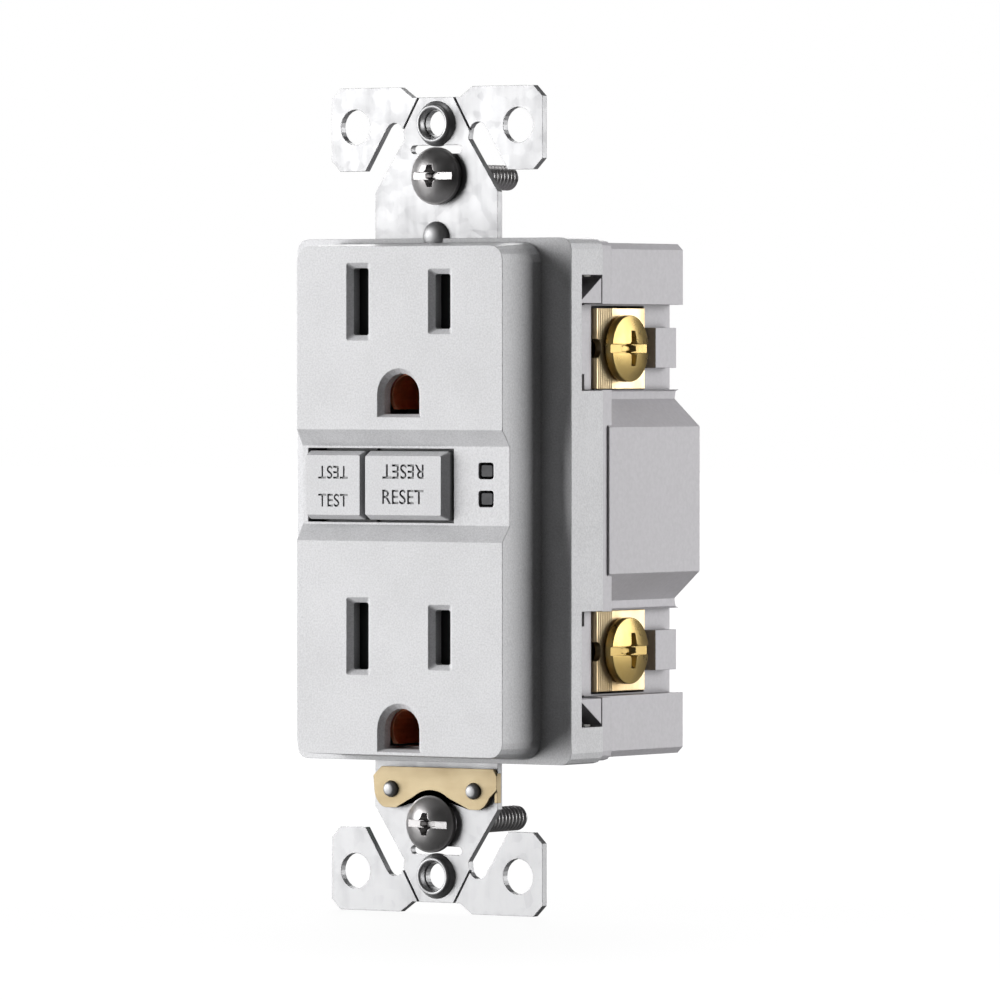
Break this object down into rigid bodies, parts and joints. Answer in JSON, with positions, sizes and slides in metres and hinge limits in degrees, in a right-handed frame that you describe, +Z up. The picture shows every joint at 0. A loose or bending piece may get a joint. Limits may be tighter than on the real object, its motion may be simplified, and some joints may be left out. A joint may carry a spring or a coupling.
{
  "type": "gfci receptacle outlet",
  "caption": "Ground-fault duplex receptacle on a steel strap, with test and reset buttons, shuttered slots and side screw terminals.",
  "frame": {"origin": "centre of the mounting strap on the plane of its back, which is the plane of the wall", "axes": "+X to the right of someone facing the device, +Y into the wall, +Z up"},
  "size_m": [0.0426, 0.038, 0.1062],
  "materials": {
    "cover": "fine grained light grey moulded thermoplastic",
    "housing": "plain light grey moulded thermoplastic",
    "dark_plastic": "matt black moulded plastic",
    "steel": "bright zinc plated",
    "brass": "bright rolled brass",
    "nickel": "nickel plated",
    "copper": "bare copper alloy",
    "green_screw": "green plated steel",
    "board": "green solder mask on glass fibre board",
    "light_pipe": "clear moulded plastic",
    "enamel": "enamelled copper wire",
    "white_plastic": "off-white moulded nylon",
    "blue_component": "blue epoxy coat"
  },
  "bodies": {
    "receptacle": {"capacitor": "dark_plastic", "circuit_board": "board", "front_cover": "cover", "grounding_clip": "brass", "hot_face_contact": "brass", "left_clip_rivet": "brass", "line_hot_terminal": "brass", "line_neutral_terminal": "nickel", "load_hot_terminal": "brass", "load_neutral_terminal": "nickel", "lower_ground_contact": "copper", "lower_indicator_led": "light_pipe", "lower_left_housing_screw": "steel", "lower_light_pipe": "light_pipe", "lower_right_housing_screw": "steel", "lower_shutter_base": "dark_plastic", "lower_shutter_spring": "steel", "neutral_face_contact": "brass", "neutral_ring": "dark_plastic", "plunger_spring": "steel", "rear_housing": "housing", "reset_spring": "steel", "right_clip_rivet": "brass", "sensing_ring": "dark_plastic", "separator": "white_plastic", "solenoid_bobbin": "white_plastic", "solenoid_winding": "enamel", "strap": "steel", "test_blade": "brass", "trip_thyristor": "dark_plastic", "upper_ground_contact": "copper", "upper_indicator_led": "light_pipe", "upper_left_housing_screw": "steel", "upper_light_pipe": "light_pipe", "upper_right_housing_screw": "steel", "upper_shutter_base": "dark_plastic", "upper_shutter_spring": "steel", "varistor": "blue_component"},
    "upper_mounting_screw": {"upper_mounting_screw": "steel"},
    "lower_mounting_screw": {"lower_mounting_screw": "steel"},
    "ground_screw": {"ground_screw": "green_screw"},
    "upper_shutter": {"upper_shutter": "dark_plastic"},
    "lower_shutter": {"lower_shutter": "dark_plastic"},
    "test_button": {"test_button": "cover"},
    "reset_button": {"reset_button": "cover", "reset_pin": "steel"},
    "plunger": {"plunger": "steel"},
    "contact_lifter": {"contact_lifter": "white_plastic"},
    "latch": {"latch": "steel"},
    "hot_contact_arm": {"hot_contact_arm": "copper"},
    "neutral_contact_arm": {"neutral_contact_arm": "copper"},
    "line_hot_clamp": {"line_hot_pressure_plate": "brass"},
    "line_hot_terminal_screw": {"line_hot_terminal_screw": "brass"},
    "line_neutral_clamp": {"line_neutral_pressure_plate": "nickel"},
    "line_neutral_terminal_screw": {"line_neutral_terminal_screw": "nickel"},
    "load_hot_clamp": {"load_hot_pressure_plate": "brass"},
    "load_hot_terminal_screw": {"load_hot_terminal_screw": "brass"},
    "load_neutral_clamp": {"load_neutral_pressure_plate": "nickel"},
    "load_neutral_terminal_screw": {"load_neutral_terminal_screw": "nickel"}
  },
  "joints": [
    {"name": "upper_mounting_screw_turn", "type": "hinge", "parent": "receptacle", "child": "upper_mounting_screw", "pos_m": [0.00045, -0.0013, 0.04167], "axis": [0, 1, 0], "continuous": true},
    {"name": "lower_mounting_screw_turn", "type": "hinge", "parent": "receptacle", "child": "lower_mounting_screw", "pos_m": [-0.00035, -0.0013, -0.04167], "axis": [0, 1, 0], "continuous": true},
    {"name": "ground_screw_turn", "type": "hinge", "parent": "receptacle", "child": "ground_screw", "pos_m": [-0.00983, 0.005, -0.037], "axis": [-1, 0, 0], "range_deg": [0, 900]},
    {"name": "line_hot_clamp_slide", "type": "slide", "parent": "receptacle", "child": "line_hot_clamp", "axis": [-1, 0, 0], "range_m": [-0.00099, 0.00079]},
    {"name": "line_hot_screw_turn", "type": "hinge", "parent": "line_hot_clamp", "child": "line_hot_terminal_screw", "pos_m": [0.0175, 0.0161, 0.0195], "axis": [-1, 0, 0], "range_deg": [-450, 360]},
    {"name": "line_neutral_clamp_slide", "type": "slide", "parent": "receptacle", "child": "line_neutral_clamp", "axis": [1, 0, 0], "range_m": [-0.00099, 0.00079]},
    {"name": "line_neutral_screw_turn", "type": "hinge", "parent": "line_neutral_clamp", "child": "line_neutral_terminal_screw", "pos_m": [-0.0175, 0.0161, 0.0195], "axis": [1, 0, 0], "range_deg": [-450, 360]},
    {"name": "load_hot_clamp_slide", "type": "slide", "parent": "receptacle", "child": "load_hot_clamp", "axis": [-1, 0, 0], "range_m": [-0.00099, 0.00079]},
    {"name": "load_hot_screw_turn", "type": "hinge", "parent": "load_hot_clamp", "child": "load_hot_terminal_screw", "pos_m": [0.0175, 0.0161, -0.0195], "axis": [-1, 0, 0], "range_deg": [-450, 360]},
    {"name": "load_neutral_clamp_slide", "type": "slide", "parent": "receptacle", "child": "load_neutral_clamp", "axis": [1, 0, 0], "range_m": [-0.00099, 0.00079]},
    {"name": "load_neutral_screw_turn", "type": "hinge", "parent": "load_neutral_clamp", "child": "load_neutral_terminal_screw", "pos_m": [-0.0175, 0.0161, -0.0195], "axis": [1, 0, 0], "range_deg": [-450, 360]},
    {"name": "upper_shutter_slide", "type": "slide", "parent": "receptacle", "child": "upper_shutter", "axis": [1, 0, 0], "range_m": [0, 0.0032], "stiffness_N_per_m": 150, "springref_m": -0.002, "deforming": ["upper_shutter_spring"]},
    {"name": "lower_shutter_slide", "type": "slide", "parent": "receptacle", "child": "lower_shutter", "axis": [1, 0, 0], "range_m": [0, 0.0032], "stiffness_N_per_m": 150, "springref_m": -0.002, "deforming": ["lower_shutter_spring"]},
    {"name": "test_press", "type": "slide", "parent": "receptacle", "child": "test_button", "axis": [0, 1, 0], "range_m": [0, 0.0015], "stiffness_N_per_m": 900, "springref_m": -0.0008, "deforming": ["test_blade"]},
    {"name": "reset_press", "type": "slide", "parent": "receptacle", "child": "reset_button", "axis": [0, 1, 0], "range_m": [0, 0.0028], "stiffness_N_per_m": 900, "springref_m": -0.001, "deforming": ["reset_spring"]},
    {"name": "plunger_stroke", "type": "slide", "parent": "receptacle", "child": "plunger", "axis": [0, 0, 1], "range_m": [0, 0.003], "stiffness_N_per_m": 120, "springref_m": -0.001, "deforming": ["plunger_spring"]},
    {"name": "lifter_drop", "type": "slide", "parent": "receptacle", "child": "contact_lifter", "axis": [0, 1, 0], "range_m": [0, 0.0015]},
    {"name": "latch_slide", "type": "slide", "parent": "contact_lifter", "child": "latch", "axis": [0, 0, 1], "range_m": [0, 0.003]},
    {"name": "hot_arm_swing", "type": "hinge", "parent": "receptacle", "child": "hot_contact_arm", "pos_m": [0.008, 0.0128, 0.0136], "axis": [1, 0, 0], "range_deg": [0, 4.1]},
    {"name": "neutral_arm_swing", "type": "hinge", "parent": "receptacle", "child": "neutral_contact_arm", "pos_m": [-0.008, 0.0128, 0.0136], "axis": [1, 0, 0], "range_deg": [0, 4.1]}
  ],
  "couplings": [
    {"joint": "line_hot_screw_turn", "follows": "line_hot_clamp_slide", "rad_per_m": 7915.8},
    {"joint": "line_neutral_screw_turn", "follows": "line_neutral_clamp_slide", "rad_per_m": 7915.8},
    {"joint": "load_hot_screw_turn", "follows": "load_hot_clamp_slide", "rad_per_m": 7915.8},
    {"joint": "load_neutral_screw_turn", "follows": "load_neutral_clamp_slide", "rad_per_m": 7915.8},
    {"joint": "lifter_drop", "follows": "plunger_stroke", "ratio": 0.5},
    {"joint": "latch_slide", "follows": "plunger_stroke", "ratio": 1},
    {"joint": "hot_arm_swing", "follows": "plunger_stroke", "rad_per_m": 23.5},
    {"joint": "neutral_arm_swing", "follows": "plunger_stroke", "rad_per_m": 23.5}
  ]
}
